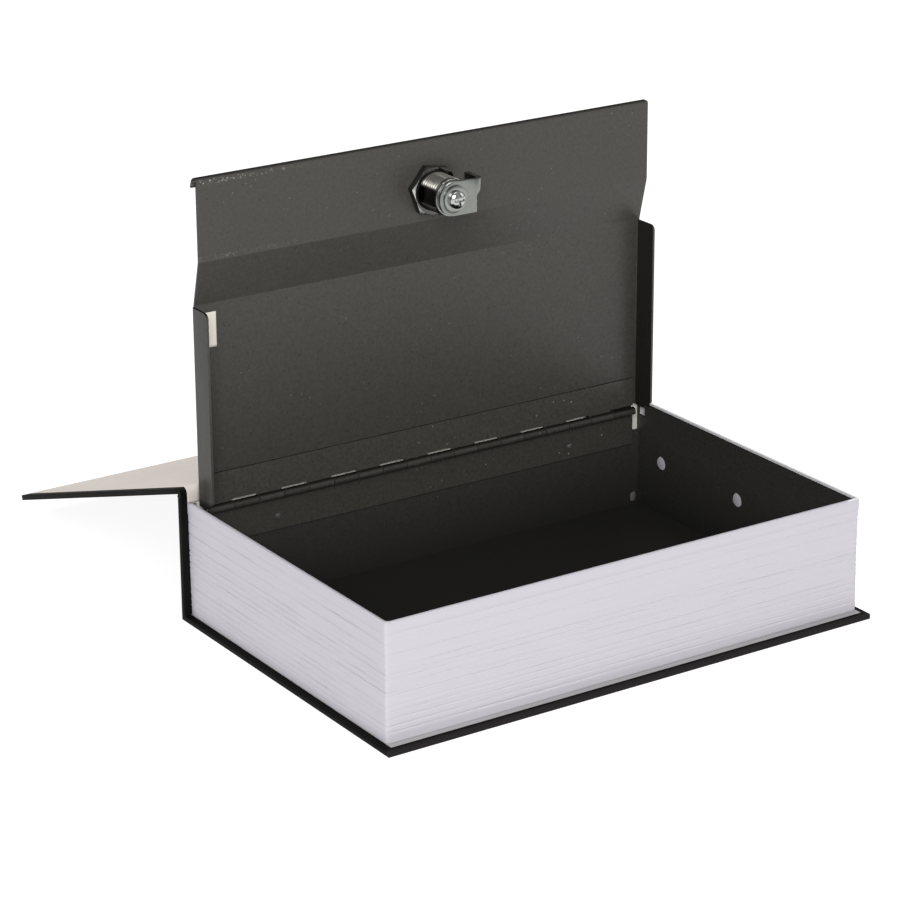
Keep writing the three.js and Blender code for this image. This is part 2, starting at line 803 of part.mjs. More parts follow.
function lockNut() {
  const radius = nutAcrossFlats / Math.sqrt(3);
  const corners = [];
  for (let i = 0; i < 6; i += 1) {
    const angle = THREE.MathUtils.degToRad(60 * i + nutTurn);
    corners.push([radius * Math.cos(angle), radius * Math.sin(angle)]);
  }
  const chamfer = turned([
    [0, -nutThickness],
    [nutAcrossFlats / 2, -nutThickness],
    [radius, -nutThickness + (radius - nutAcrossFlats / 2) * nutChamferSlope],
    [radius, 0],
    [0, 0],
  ]);
  return prism('y', corners, -nutThickness, 0).intersect(chamfer)
    .subtract(rod('y', lockBarrelRadius + lockHoleClearance, -nutThickness - cutOver, cutOver,
      [0, 0]));
}

function waferPlaces() {
  const places = [];
  for (let i = 0; i < waferCount; i += 1) {
    places.push(-waferStart - i * waferPitch);
  }
  return places;
}

function lockPlug() {
  const tang = camTangSize / 2;
  let plug = turned([
    [0, -lockBarrelLength],
    [plugRadius, -lockBarrelLength],
    [plugRadius, plugFront - plugHeadHeight],
    [plugHeadRadius, plugFront - plugHeadHeight],
    [plugHeadRadius, plugFront - plugHeadChamfer],
    [plugHeadRadius - plugHeadChamfer, plugFront],
    [0, plugFront],
  ]).add(box([-tang, camFront + tangRecess, -tang], [tang, cutOver - lockBarrelLength, tang]));
  plug = plug.subtract(box(
    [-keywayWidth / 2, plugFront - keywayDepth, -keywayHeight / 2],
    [keywayWidth / 2, plugFront + cutOver, keywayHeight / 2]));
  const slotHalf = waferWidth / 2 + waferSlotClearance;
  for (const y of waferPlaces()) {
    plug = plug.subtract(box(
      [-slotHalf, y - waferThickness / 2 - waferSlotClearance, -plugRadius - cutOver],
      [slotHalf, y + waferThickness / 2 + waferSlotClearance, plugRadius + cutOver]));
  }
  return plug.subtract(rod('y', screwShankRadius + screwHoleClearance,
    camFront - cutOver, camFront + screwShankLength, [0, 0], smallSegments));
}

// A flat wafer with a window for the key, cut round where it meets the barrel.
function wafer(y) {
  const round = rod('y', plugRadius - waferEdgeGap,
    y - waferThickness / 2, y + waferThickness / 2, [0, 0]);
  const plate = box([-waferWidth / 2, y - waferThickness, -plugRadius],
    [waferWidth / 2, y + waferThickness, plugRadius]);
  const windowHalf = keywayWidth / 2 + waferWindowMargin;
  const window = box([-windowHalf, y - waferThickness, -waferWindowHeight / 2],
    [windowHalf, y + waferThickness, waferWindowHeight / 2]);
  return round.intersect(plate).subtract(window);
}

function squareHole(from, to) {
  const half = camTangSize / 2 + tangClearance;
  return box([-half, from, -half], [half, to, half]);
}

function stopWasher() {
  return rod('y', stopWasherRadius, camBack, stopWasherBack, [0, 0])
    .subtract(squareHole(camBack - cutOver, stopWasherBack + cutOver));
}

// A plate that tapers a little to its end, where a tab with a slanting lower edge
// bends back.
function cam() {
  const plate = prism('y', [
    ...arc([0, 0], camRadius, 90, 270, smallSegments),
    [camReach, -camRadius],
    [camReach, camShoulder],
  ], camFront, camBack);
  const tab = prism('z', sheetOutline(roundLine([
    [0, camBack],
    [camTabReach - camThickness, camBack],
    [camTabReach - camThickness, camFront + camTabLength],
  ].reverse(), camBendRadius), camThickness), camTabLow, camShoulder);
  const face = prism('y', [
    [0, camTabLow],
    [camReach, camTabLow],
    [camTabReach, camTabLow + camTabRise],
    [camTabReach, camShoulder],
    [0, camShoulder],
  ], camFront - cutOver, camFront + camTabLength + cutOver);
  return plate.add(tab.intersect(face))
    .subtract(squareHole(camFront - cutOver, camBack + cutOver));
}

function camWasher() {
  const seat = camFront - camWasherThickness;
  return rod('y', camWasherRadius, seat, camFront, [0, 0])
    .subtract(rod('y', screwShankRadius + screwHoleClearance, seat - cutOver,
      camFront + cutOver, [0, 0], smallSegments));
}

// A pan head with a cross recess.
function camScrew() {
  const seat = camFront - camWasherThickness;
  const top = seat - screwHeadHeight;
  const slot = (width, height) => box(
    [-width / 2, top - cutOver, -height / 2],
    [width / 2, top + screwSlotDepth, height / 2]);
  return turned([
    ...crown(screwHeadRadius, screwCrownHeight, top),
    [screwHeadRadius, seat],
    [screwShankRadius, seat],
    [screwShankRadius, seat + screwShankLength],
    [0, seat + screwShankLength],
  ], 0, 0, holeSegments)
    .subtract(slot(screwSlotWidth, screwSlotLength))
    .subtract(slot(screwSlotLength, screwSlotWidth));
}

// Materials

function finish(color, roughness, metalness) {
  return new THREE.MeshStandardMaterial({ color, roughness, metalness });
}

const finishes = {
  leatherette: () => finish(0x242120, 0.7, 0),
  board: () => finish(0x8d8579, 0.9, 0),
  endpaper: () => finish(0xd4cbc4, 0.85, 0),
  pages: () => finish(0xd4d0d8, 0.55, 0),
  hammertone: () => finish(0x3c3a37, 0.4, 0.3),
  blackSteel: () => finish(0x1c1b1b, 0.45, 0.3),
  chrome: () => finish(0xc9cbc8, 0.18, 1),
  brass: () => finish(0xb8975a, 0.35, 1),
};

function piece(name, solid, material) {
  const mesh = new THREE.Mesh(toGeometry(solid), material());
  mesh.name = name;
  return mesh;
}

// Assembly

const bookSafe = new THREE.Group();

const bookCase = new THREE.Group();
bookCase.add(
  piece('case_cloth', caseCloth(), finishes.leatherette),
  piece('back_board', backBoard(), finishes.board),
  piece('spine_board', spineBoard(), finishes.board),
  piece('back_endpaper', backEndpaper(), finishes.endpaper),
  piece('front_joint', frontJoint(), finishes.leatherette),
  piece('joint_paper', jointPaper(), finishes.endpaper));

const frontCover = new THREE.Group();
frontCover.position.set(0, coverAxisY, coverAxisHeight);
frontCover.rotation.x = THREE.MathUtils.degToRad(-coverAngle);
frontCover.add(
  piece('front_cloth', frontCloth(), finishes.leatherette),
  piece('front_board', frontBoard(), finishes.board),
  piece('front_endpaper', frontEndpaper(), finishes.endpaper));

const strongBox = new THREE.Group();
strongBox.add(
  piece('page_block', pageBlock(), finishes.pages),
  piece('steel_tray', steelTray(), finishes.hammertone),
  piece('strike_channel', strikeChannel(), finishes.blackSteel));
rivetPlaces().forEach((x, i) => {
  strongBox.add(piece(`hinge_rivet_${i + 1}`, hingeRivet(x), finishes.hammertone));
});

const hinge = new THREE.Group();
hinge.position.set(0, hingeY, hingeZ);
hinge.add(
  piece('box_hinge_leaf', boxHingeLeaf(), finishes.hammertone),
  piece('hinge_pin', hingePin(), finishes.chrome));

const lid = new THREE.Group();
lid.position.set(0, hingeY, hingeZ);
lid.add(
  piece('lid_panel', lidPanel(), finishes.hammertone),
  piece('lid_hinge_leaf', lidHingeLeaf(), finishes.hammertone));

const lock = new THREE.Group();
lock.position.set(0, lockFaceY, lockRise);
lock.add(
  piece('lock_body', lockBody(), finishes.chrome),
  piece('lock_nut', lockNut(), finishes.chrome),
  piece('lock_plug', lockPlug(), finishes.chrome),
  piece('stop_washer', stopWasher(), finishes.chrome),
  piece('cam', cam(), finishes.chrome),
  piece('cam_washer', camWasher(), finishes.chrome),
  piece('cam_screw', camScrew(), finishes.chrome));
waferPlaces().forEach((y, i) => {
  lock.add(piece(`wafer_${i + 1}`, wafer(y), finishes.brass));
});
lid.add(lock);

bookSafe.add(bookCase, frontCover, strongBox, hinge, lid);

export default bookSafe;
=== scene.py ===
"""The looks of the book diversion safe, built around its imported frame.

Sizes are millimetres in the frame's own axes: X along the spine, Y from the
fore-edge to the spine, Z up. They turn into metres where a mesh is made.
"""

import math

import bmesh
import bpy
from mathutils import Matrix, Vector, noise


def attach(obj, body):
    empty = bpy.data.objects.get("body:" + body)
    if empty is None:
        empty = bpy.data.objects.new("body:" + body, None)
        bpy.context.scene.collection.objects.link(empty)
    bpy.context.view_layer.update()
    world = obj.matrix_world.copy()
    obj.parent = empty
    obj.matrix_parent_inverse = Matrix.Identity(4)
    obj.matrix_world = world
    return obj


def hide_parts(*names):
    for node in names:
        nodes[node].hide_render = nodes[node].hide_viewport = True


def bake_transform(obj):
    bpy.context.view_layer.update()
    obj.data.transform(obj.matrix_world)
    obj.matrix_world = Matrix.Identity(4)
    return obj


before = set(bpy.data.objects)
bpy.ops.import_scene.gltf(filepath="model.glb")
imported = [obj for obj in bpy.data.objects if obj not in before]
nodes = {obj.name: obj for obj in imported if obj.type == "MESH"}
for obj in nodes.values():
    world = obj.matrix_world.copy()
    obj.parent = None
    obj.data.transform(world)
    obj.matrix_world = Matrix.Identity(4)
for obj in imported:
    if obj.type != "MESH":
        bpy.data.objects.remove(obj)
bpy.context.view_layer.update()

MM = 0.001

# Book case
CASE_LENGTH = 240.0
CASE_DEPTH = 162.4
SPINE_TOP = 55.0
COVER_THICKNESS = 2.4
SPINE_THICKNESS = 2.8
CLOTH_EDGE = 0.4
PAPER_MARGIN = 3.0
COVER_ANGLE = 198.7
COVER_AXIS = (78.85, 56.9)
COVER_OUTER = 56.5
COVER_START = 76.5
COVER_ROWS = 20
CREASE_INSET = 0.3
PAPER_GAP = 0.1
PAPER_THICKNESS = 0.15
JOINT_PAPER_HEIGHTS = (54.5, 55.6, 56.2)
LENGTH_STEPS = 24

# Page block
PAGE_END = 117.0
PAGE_FRONT = -75.3
PAGE_BACK = 78.3
PAGE_FOOT = 2.75
PAGE_TOP = 53.0
PAGE_BAND = 48.0
PAGE_WALL = 1.7
PAGE_BACK_WALL = 1.6
PAGE_CORNER = 1.4
PAGE_HOLLOW_CORNER = 1.7
PAGE_SPACING = 3.0
PAGE_ROWS = 200
PAGE_FOOT_ROWS = 4
BAND_PROUD = 0.2
BAND_EDGE = 0.12
BAND_EDGE_HEIGHT = 0.15
GROOVE_HEIGHTS = (44.4, 39.2, 34.0, 31.4, 29.2, 26.4, 24.0, 22.1, 17.9, 15.5, 12.6, 9.8, 6.9)
GROOVE_DEPTH = 0.42
GROOVE_HALF_WIDTH = 0.5
FOOT_UNDERCUT = 0.12
FOOT_UNDERCUT_HEIGHT = 0.2
FOOT_LIFT = 0.03
PAGE_DRAFT = 0.3
PAGE_DRAFT_HEIGHT = 25
SPINE_WALL_Y = 76.4
PEG_RADIUS = 3.1
PEG_MIDDLE = 3.3
PEG_SPACING = 55.1
PEG_HEIGHT = 27.7
PEG_END = 114.5
PEG_SIDES = 40

# Lock
LOCK_X = 0.0
LOCK_Z = 171.2
LOCK_FACE = 70.5
LID_SHEET = 1.0
BARREL_RADIUS = 8.3
BARREL_LENGTH = 15.0
BARREL_BORE = 6.3
BARREL_FLAT = 7.1
THREAD_PITCH = 1.5
THREAD_DEPTH = 0.75
THREAD_ROWS = 12
BARREL_SIDES = 144
LOCK_HEAD_RADIUS = 11.0
LOCK_HEAD_HEIGHT = 2.4
LOCK_HEAD_ROUND = 1.0
LOCK_DISH_RADIUS = 7.5
LOCK_DISH_DEPTH = 1.7
RING_WAVES = 5.6
RING_REACH = 6.6

# Sticker on the lid's inner face
STICKER_LEFT = -107.3
STICKER_RIGHT = -102.3
STICKER_LOW = 119.8
STICKER_HIGH = 134.9
LID_INNER = 75.4

# Places where the lid's paint is chipped
LID_HEM_Z = 191.3
LID_FOLD_Z = 159.6
CHIPS_FROM_X = -98.0
CHIPS_TO_X = -52.0
BARE_METAL = (0.34, 0.32, 0.29)

# The part of the spine's white wall that lies behind the last hinge knuckles, where it gets
# painted shade
LEAF_END_FROM_X = 85.0
LEAF_END_TO_X = 110.8

# The tray gets painted shade, darker towards its foot, between these heights
TRAY_SHADE_LOW = 4.0
TRAY_SHADE_HIGH = 38.0

# Camera, worked out from the photograph's perspective
CAMERA_PLACE = (-721.56, -1039.25, 544.25)
CAMERA_RIGHT = (0.8342, -0.5514, -0.0055)
CAMERA_UP = (0.1957, 0.2867, 0.9378)
CAMERA_LENS = 130.64
CAMERA_SENSOR = 36

# Studio
FLOOR_HALF = 6.0
FLOOR_GLOW = 0.92
SKY_STRENGTH = 0.36

# Most noise lies between these values
NOISE_LOW = 0.3
NOISE_HIGH = 0.7

WELD_DISTANCE = 0.001


# Meshes


def make_piece(name, vertices, faces, material, smooth=True):
    """An object from vertices in millimetres and faces as index lists."""
    mesh = bpy.data.meshes.new(name)
    mesh.from_pydata([Vector(v) * MM for v in vertices], [], faces)
    mesh.validate()
    work = bmesh.new()
    work.from_mesh(mesh)
    bmesh.ops.recalc_face_normals(work, faces=work.faces)
    work.to_mesh(mesh)
    work.free()
    mesh.materials.append(material)
    for polygon in mesh.polygons:
        polygon.use_smooth = smooth
    piece = bpy.data.objects.new(name, mesh)
    bpy.context.scene.collection.objects.link(piece)
    return piece


def joined(parts):
    """One list of vertices and one of faces from several (vertices, faces)."""
    vertices, faces = [], []
    for part_vertices, part_faces in parts:
        base = len(vertices)
        vertices += part_vertices
        faces += [[index + base for index in face] for face in part_faces]
    return vertices, faces


def swept(sections):
    """A closed body through sections of one point count, capped at both ends."""
    count = len(sections[0])
    vertices = [point for section in sections for point in section]
    faces = [list(range(count)), list(range((len(sections) - 1) * count, len(sections) * count))]
    for row in range(len(sections) - 1):
        for i in range(count):
            j = (i + 1) % count
            a, b = row * count + i, row * count + j
            faces.append([a, b, b + count, a + count])
    return vertices, faces


def along_x(outline, stops):
    """A (Y, Z) outline swept through stops of X."""
    return swept([[(x, y, z) for y, z in outline] for x in stops])


def steps(start, end, count):
    return [start + (end - start) * i / count for i in range(count + 1)]


def steps_between(start, end, count):
    """The points between two points, without the points themselves."""
    return [
        (start[0] + (end[0] - start[0]) * i / count, start[1] + (end[1] - start[1]) * i / count)
        for i in range(1, count)
    ]


def arc(centre, radius, start, end, count):
    return [
        (
            centre[0] + radius * math.cos(math.radians(angle)),
            centre[1] + radius * math.sin(math.radians(angle)),
        )
        for angle in steps(start, end, count)
    ]


def weld(piece):
    """Joins the vertices that lie at one place."""
    modifier = piece.modifiers.new("Weld", "WELD")
    modifier.merge_threshold = WELD_DISTANCE * MM


def crease_over(piece, degrees):
    """Shades a piece smooth up to an angle between its faces."""
    piece.data.set_sharp_from_angle(angle=math.radians(degrees))


def soften(piece, width, segments=2, angle=35, crease=24):
    """Rounds a piece's sharp edges by width, in millimetres."""
    weld(piece)
    bevel = piece.modifiers.new("Bevel", "BEVEL")
    bevel.width = width * MM
    bevel.segments = segments
    bevel.limit_method = "ANGLE"
    bevel.angle_limit = math.radians(angle)
    split = piece.modifiers.new("Crease", "EDGE_SPLIT")
    split.split_angle = math.radians(crease)
    split.use_edge_sharp = False
    for polygon in piece.data.polygons:
        polygon.use_smooth = True


def rounded_rectangle(x0, y0, x1, y1, radius, spacing):
    """An outline with round low-Y corners and points about spacing apart."""
    corners = [
        arc((x0 + radius, y0 + radius), radius, 180, 270, 6),
        arc((x1 - radius, y0 + radius), radius, 270, 360, 6),
        [(x1, y1)],
        [(x0, y1)],
    ]
    points = []
    for here, ahead in zip(corners, corners[1:] + corners[:1]):
        points += here
        start, end = Vector(here[-1]), Vector(ahead[0])
        count = max(1, round((end - start).length / spacing))
        points += [tuple(start.lerp(end, i / count)) for i in range(1, count)]
    return points


# Materials


class Shader:
    """A material's node tree, with short ways to add and join nodes."""

    def __init__(self, name):
        self.material = bpy.data.materials.new(name)
        self.material.use_nodes = True
        self.tree = self.material.node_tree
        self.surface = self.tree.nodes["Principled BSDF"]
        self.place = self.add("ShaderNodeTexCoord").outputs["Object"]

    def add(self, kind, **settings):
        node = self.tree.nodes.new(kind)
        for key, value in settings.items():
            setattr(node, key, value)
        return node

    def link(self, output, socket):
        self.tree.links.new(output, socket)

    def set(self, **values):
        for key, value in values.items():
            self.surface.inputs[key.replace("_", " ")].default_value = value

    def noise(self, size, detail=3.0, roughness=0.5, stretch=(1, 1, 1)):
        """Noise whose features are about size millimetres across."""
        node = self.add("ShaderNodeTexNoise")
        node.inputs["Scale"].default_value = 1.0
        node.inputs["Detail"].default_value = detail
        node.inputs["Roughness"].default_value = roughness
        self.link(self.scaled(size, stretch), node.inputs["Vector"])
        return node.outputs["Fac"]

    def cells(self, size):
        """The distance to the middle of cells about size millimetres across."""
        node = self.add("ShaderNodeTexVoronoi")
        node.inputs["Scale"].default_value = 1.0
        self.link(self.scaled(size, (1, 1, 1)), node.inputs["Vector"])
        return node.outputs["Distance"]

    def scaled(self, size, stretch):
        mapping = self.add("ShaderNodeMapping")
        mapping.inputs["Scale"].default_value = [s / (size * MM) for s in stretch]
        self.link(self.place, mapping.inputs["Vector"])
        return mapping.outputs["Vector"]

    def range(self, value, low, high, to_low=0.0, to_high=1.0):
        node = self.add("ShaderNodeMapRange")
        self.link(value, node.inputs["Value"])
        for key, number in (
            ("From Min", low),
            ("From Max", high),
            ("To Min", to_low),
            ("To Max", to_high),
        ):
            node.inputs[key].default_value = number
        return node.outputs["Result"]

    def spread(self, value, to_low=0.0, to_high=1.0):
        """A noise's usual values, turned into another range."""
        return self.range(value, NOISE_LOW, NOISE_HIGH, to_low, to_high)

    def product(self, first, second):
        return self.math("MULTIPLY", first, second)

    def absolute(self, value):
        return self.math("ABSOLUTE", value, 0)

    def math(self, operation, first, second):
        node = self.add("ShaderNodeMath", operation=operation)
        for socket, value in zip(node.inputs, (first, second)):
            if isinstance(value, (int, float)):
                socket.default_value = value
            else:
                self.link(value, socket)
        return node.outputs["Value"]

    def mixed(self, share, first, second):
        """A colour between two colours or colour outputs."""
        node = self.add("ShaderNodeMix", data_type="RGBA")
        self.link(share, node.inputs["Factor"])
        for socket, value in ((node.inputs[6], first), (node.inputs[7], second)):
            if isinstance(value, tuple):
                socket.default_value = (*value, 1)
            else:
                self.link(value, socket)
        return node.outputs[2]

    def facing(self, axis):
        """The outward normal's part along an axis, from -1 to 1."""
        split = self.add("ShaderNodeSeparateXYZ")
        self.link(self.add("ShaderNodeNewGeometry").outputs["True Normal"], split.inputs["Vector"])
        return split.outputs[axis]

    def along(self, axis):
        """The place along an axis, in millimetres."""
        split = self.add("ShaderNodeSeparateXYZ")
        self.link(self.place, split.inputs["Vector"])
        return self.math("MULTIPLY", split.outputs[axis], 1 / MM)

    def colour(self, output):
        self.link(output, self.surface.inputs["Base Color"])

    def roughness(self, output):
        self.link(output, self.surface.inputs["Roughness"])

    def bump(self, *layers):
        """Bump from (height output, height in millimetres, strength) layers."""
        normal = None
        for height, depth, strength in layers:
            node = self.add("ShaderNodeBump")
            node.inputs["Distance"].default_value = depth * MM
            node.inputs["Strength"].default_value = strength
            self.link(height, node.inputs["Height"])
            if normal is not None:
                self.link(normal, node.inputs["Normal"])
            normal = node.outputs["Normal"]
        self.link(normal, self.surface.inputs["Normal"])


def hammertone(
    name, dark, light, speck, gloss, upward_shade=1.0, sideways_shade=1.0, foot=1.0, chipped=()
):
    """Stove enamel with a fine uneven peel and sparse specks.

    Painted shade: faces that look up keep only the upward share of its
    colour and lose most of their specular, those that look to -X keep the
    sideways share, and the tray towards its foot the foot share. chipped
    lists heights and strengths of chips that bare the metal at the lid's left.
    """
    shader = Shader(name)
    peel = shader.noise(1.5, 3.0, 0.6)
    drift = shader.noise(7.0, 2.0)
    sheen = shader.noise(40.0, 2.0)
    flakes = shader.range(shader.cells(3.4), 0.07, 0.13, 1.0, 0.0)
    chosen = shader.range(shader.noise(16.0, 2.0), 0.56, 0.64)
    dents = shader.range(shader.noise(1.1, 2.0, 0.7), 0.3, 0.38, 1.0, 0.0)
    tone = shader.mixed(shader.spread(peel), dark, light)
    tone = shader.mixed(dents, tone, tuple(0.62 * value for value in dark))
    tone = shader.mixed(shader.product(flakes, chosen), tone, speck)
    # Painted shade on faces that look up.
    if upward_shade < 1:
        facing = shader.range(shader.facing("Z"), 0.3, 0.9)
        tone = shader.mixed(facing, tone, tuple(upward_shade * value for value in dark))
    for height, strength in chipped:
        away = shader.absolute(shader.math("SUBTRACT", shader.along("Z"), height))
        near = shader.range(away, 0.5, 1.3, 1.0, 0.0)
        left = shader.range(shader.along("X"), CHIPS_FROM_X, CHIPS_TO_X, strength, 0.0)
        bare = shader.range(shader.noise(0.9, 2.0, 0.7), 0.57, 0.64)
        share = shader.product(shader.product(near, left), bare)
        tone = shader.mixed(share, tone, BARE_METAL)
    # Painted shade towards the tray's foot.
    if foot < 1:
        low = shader.range(shader.along("Z"), TRAY_SHADE_LOW, TRAY_SHADE_HIGH, 1.0, 0.0)
        tone = shader.mixed(low, tone, tuple(foot * value for value in dark))
    # Painted shade on faces that look to -X.
    if sideways_shade < 1:
        facing = shader.range(shader.facing("X"), -0.9, -0.5, 1.0, 0.0)
        tone = shader.mixed(facing, tone, tuple(sideways_shade * value for value in light))
    shader.colour(tone)
    shader.roughness(shader.spread(sheen, gloss - 0.03, gloss + 0.03))
    shader.bump((drift, 0.12, 0.5), (peel, 0.14, 0.5))
    shader.set(Specular_IOR_Level=0.3)
    # Faces that look up, painted with shade, also lose most of their specular.
    if upward_shade < 1:
        sheer = shader.range(shader.facing("Z"), 0.3, 0.9, 0.3, 0.02)
        shader.link(sheer, shader.surface.inputs["Specular IOR Level"])
    return shader.material


def leatherette(name):
    """Black book cloth with a fine embossed leather grain, and painted light on the fore-edge."""
    shader = Shader(name)
    pebbles = shader.cells(0.75)
    grain = shader.noise(0.3, 3.0)
    wear = shader.noise(22.0, 3.0)
    tone = shader.mixed(shader.spread(wear), (0.003, 0.0027, 0.0027), (0.006, 0.0055, 0.0052))
    fore_edge = -CASE_DEPTH / 2
    # Painted light: the cloth on the cover's fore-edge is lighter.
    painted_light = shader.range(shader.along("Y"), fore_edge + 1, fore_edge + 2, 1.0, 0.0)
    shader.colour(shader.mixed(painted_light, tone, (0.0175, 0.0155, 0.0155)))
    shader.roughness(shader.spread(grain, 0.5, 0.66))
    shader.bump((pebbles, 0.12, 0.5), (grain, 0.05, 0.35))
    shader.set(Specular_IOR_Level=0.06)
    return shader.material


def endpaper(name, dark, light):
    """Uncoated sheet, with fibres and a little unevenness."""
    shader = Shader(name)
    fibres = shader.noise(0.6, 4.0, 0.6, (0.25, 1, 1))
    cloud = shader.noise(30.0, 3.0)
    shader.colour(shader.mixed(shader.spread(cloud), dark, light))
    shader.bump((cloud, 0.5, 0.2), (fibres, 0.04, 0.4))
    shader.set(Roughness=0.85, Specular_IOR_Level=0.2)
    return shader.material


def page_edges(name):
    """Trimmed page edges: thin flat layers, a little uneven in tone.

    The fore-edge is painted a shade darker, as painted shade. The walls that
    show past the steel get painted light: the rim and the wall at the right
    end, and the spine's wall, which is also warmer; painted shade makes that
    wall dark behind the last knuckles.
    """
    shader = Shader(name)
    leaves = shader.noise(0.34, 2.0, 0.6, (0.012, 0.012, 1))
    bundles = shader.noise(1.6, 2.0, 0.5, (0.02, 0.02, 1))
    drift = shader.noise(35.0, 2.0)
    tone = shader.mixed(shader.spread(leaves), (0.56, 0.542, 0.59), (0.62, 0.6, 0.65))
    tone = shader.mixed(shader.spread(drift), tone, (0.59, 0.571, 0.62))
    # Painted shade: faces that look to the fore-edge are darker.
    front = shader.range(shader.facing("Y"), -0.9, -0.6, 0.5, 0.0)
    tone = shader.mixed(front, tone, (0.53, 0.512, 0.555))

    along = shader.along("X")
    # Painted light on the inner face of the wall at the right end.
    wall = shader.range(along, PAGE_END - 2.4, PAGE_END - 2.1)
    inward = shader.range(shader.facing("X"), -0.9, -0.6, 1.0, 0.0)
    tone = shader.mixed(shader.product(wall, inward), tone, (0.82, 0.82, 0.86))
    # Painted light on the up-facing rim near the right end.
    end = shader.range(along, PAGE_END - 7, PAGE_END - 5)
    level = shader.range(shader.facing("Z"), 0.7, 0.9)
    tone = shader.mixed(shader.product(end, level), tone, (0.95, 0.94, 0.96))

    # Painted light, warmer in tone, on the spine's wall inside the ends.
    spine = shader.range(shader.along("Y"), SPINE_WALL_Y - 0.1, SPINE_WALL_Y + 0.1)
    inside = shader.range(shader.absolute(along), PAGE_END - 2.2, PAGE_END - 2.0, 1.0, 0.0)
    high = shader.range(shader.along("Z"), 20.0, 24.0)
    painted_spine_light = shader.product(shader.product(spine, inside), high)
    tone = shader.mixed(painted_spine_light, tone, (0.97, 0.95, 0.86))
    # Painted shade: the spine's wall is dark behind the last hinge knuckles.
    after = shader.range(along, LEAF_END_FROM_X - 1, LEAF_END_FROM_X + 1)
    before = shader.range(along, LEAF_END_TO_X - 0.2, LEAF_END_TO_X + 0.2, 1.0, 0.0)
    painted_leaf_shade = shader.product(painted_spine_light, shader.product(after, before))
    shader.colour(shader.mixed(painted_leaf_shade, tone, (0.03, 0.03, 0.03)))
    shader.bump((bundles, 0.12, 0.4), (leaves, 0.06, 0.45))
    shader.set(Roughness=0.62, Specular_IOR_Level=0.3)
    return shader.material


def plated(name, tint, rough, rings=False):
    """Bright plate over turned or stamped metal, with faint tool marks."""
    shader = Shader(name)
    shader.set(Base_Color=(*tint, 1), Metallic=1.0)
    smear = shader.noise(3.0, 3.0)
    shader.roughness(shader.spread(smear, rough * 0.7, rough * 1.35))
    scratches = shader.noise(0.22, 2.0, 0.6, (1, 1, 0.12))
    layers = [(smear, 0.15, 0.12), (scratches, 0.02, 0.3)]
    if rings:
        layers.append((shader.range(ring_marks(shader), 0.0, 1.0), 0.18, 0.5))
    shader.bump(*layers)
    return shader.material


def from_lock_axis(shader):
    """The distance from the lock's axis, in millimetres."""
    across = shader.math("SUBTRACT", shader.along("X"), LOCK_X)
    up = shader.math("SUBTRACT", shader.along("Z"), LOCK_Z)
    square = shader.math("ADD", shader.product(across, across), shader.product(up, up))
    return shader.math("POWER", square, 0.5)


def thread_plate(name, root, crest, rough):
    """Plated thread with painted shade, near black, in its roots."""
    shader = Shader(name)
    shader.set(Metallic=1.0)
    # Painted shade: near the thread's roots the colour turns dark.
    unshaded_crest = shader.range(from_lock_axis(shader), BARREL_RADIUS - 0.45, BARREL_RADIUS - 0.2)
    shader.colour(shader.mixed(unshaded_crest, root, crest))
    smear = shader.noise(3.0, 3.0)
    shader.roughness(shader.spread(smear, rough * 0.8, rough * 1.25))
    shader.bump((smear, 0.15, 0.12))
    return shader.material


def nut_plate(name, tint, painted_light, rough):
    """Dull plated nut with a painted highlight on the chamfers that face left and to the front."""
    shader = Shader(name)
    # Painted highlight: chamfers that face left and to the front take the bright colour and are
    # less metallic.
    left = shader.range(shader.facing("X"), -0.3, -0.12, 1.0, 0.0)
    front = shader.range(shader.facing("Y"), -0.35, -0.15, 1.0, 0.0)
    rim = shader.product(left, front)
    shader.colour(shader.mixed(rim, tint, painted_light))
    shader.link(shader.range(rim, 0.0, 1.0, 1.0, 0.35), shader.surface.inputs["Metallic"])
    smear = shader.noise(3.0, 3.0)
    shader.roughness(shader.spread(smear, rough * 0.8, rough * 1.4))
    shader.bump((smear, 0.15, 0.15), (shader.noise(0.7, 2.0), 0.05, 0.3))
    return shader.material


def ring_marks(shader):
    """Height of shallow rings around the lock's axis."""
    radius = from_lock_axis(shader)
    wave = shader.math("SINE", shader.product(radius, RING_WAVES), 0)
    inside = shader.range(radius, RING_REACH - 0.2, RING_REACH + 0.2, 1.0, 0.0)
    return shader.product(wave, inside)


def board(name):
    """Grey binder's board with darker flecks."""
    shader = Shader(name)
    flecks = shader.noise(0.8, 4.0, 0.7)
    tone = shader.mixed(shader.spread(flecks), (0.22, 0.195, 0.165), (0.31, 0.28, 0.24))
    shader.colour(tone)
    shader.bump((flecks, 0.1, 0.4))
    shader.set(Roughness=0.9)
    return shader.material


def label(name):
    """Bare sticker paper."""
    shader = Shader(name)
    fibres = shader.noise(0.5, 3.0)
    shader.colour(shader.mixed(shader.spread(fibres), (0.8, 0.75, 0.66), (0.84, 0.79, 0.7)))
    shader.bump((fibres, 0.03, 0.3))
    shader.set(Roughness=0.55)
    return shader.material


def studio_floor(name):
    """A pale floor that glows enough to read as white."""
    shader = Shader(name)
    grain = shader.noise(8.0, 2.0)
    shader.colour(shader.mixed(shader.spread(grain), (0.24, 0.24, 0.24), (0.26, 0.26, 0.26)))
    shader.set(Roughness=0.9, Specular_IOR_Level=0.0)
    shader.set(Emission_Color=(1, 1, 1, 1), Emission_Strength=FLOOR_GLOW)
    return shader.material


# The lid's up-facing edges and its faces that look to -X get painted shade.
LID_PAINT = hammertone(
    "lid_paint",
    dark=(0.051, 0.0485, 0.043),
    light=(0.066, 0.063, 0.0565),
    speck=(0.13, 0.13, 0.12),
    gloss=0.34,
    upward_shade=0.15,
    sideways_shade=0.3,
    chipped=((LID_HEM_Z, 0.9), (LID_FOLD_Z, 0.35)),
)
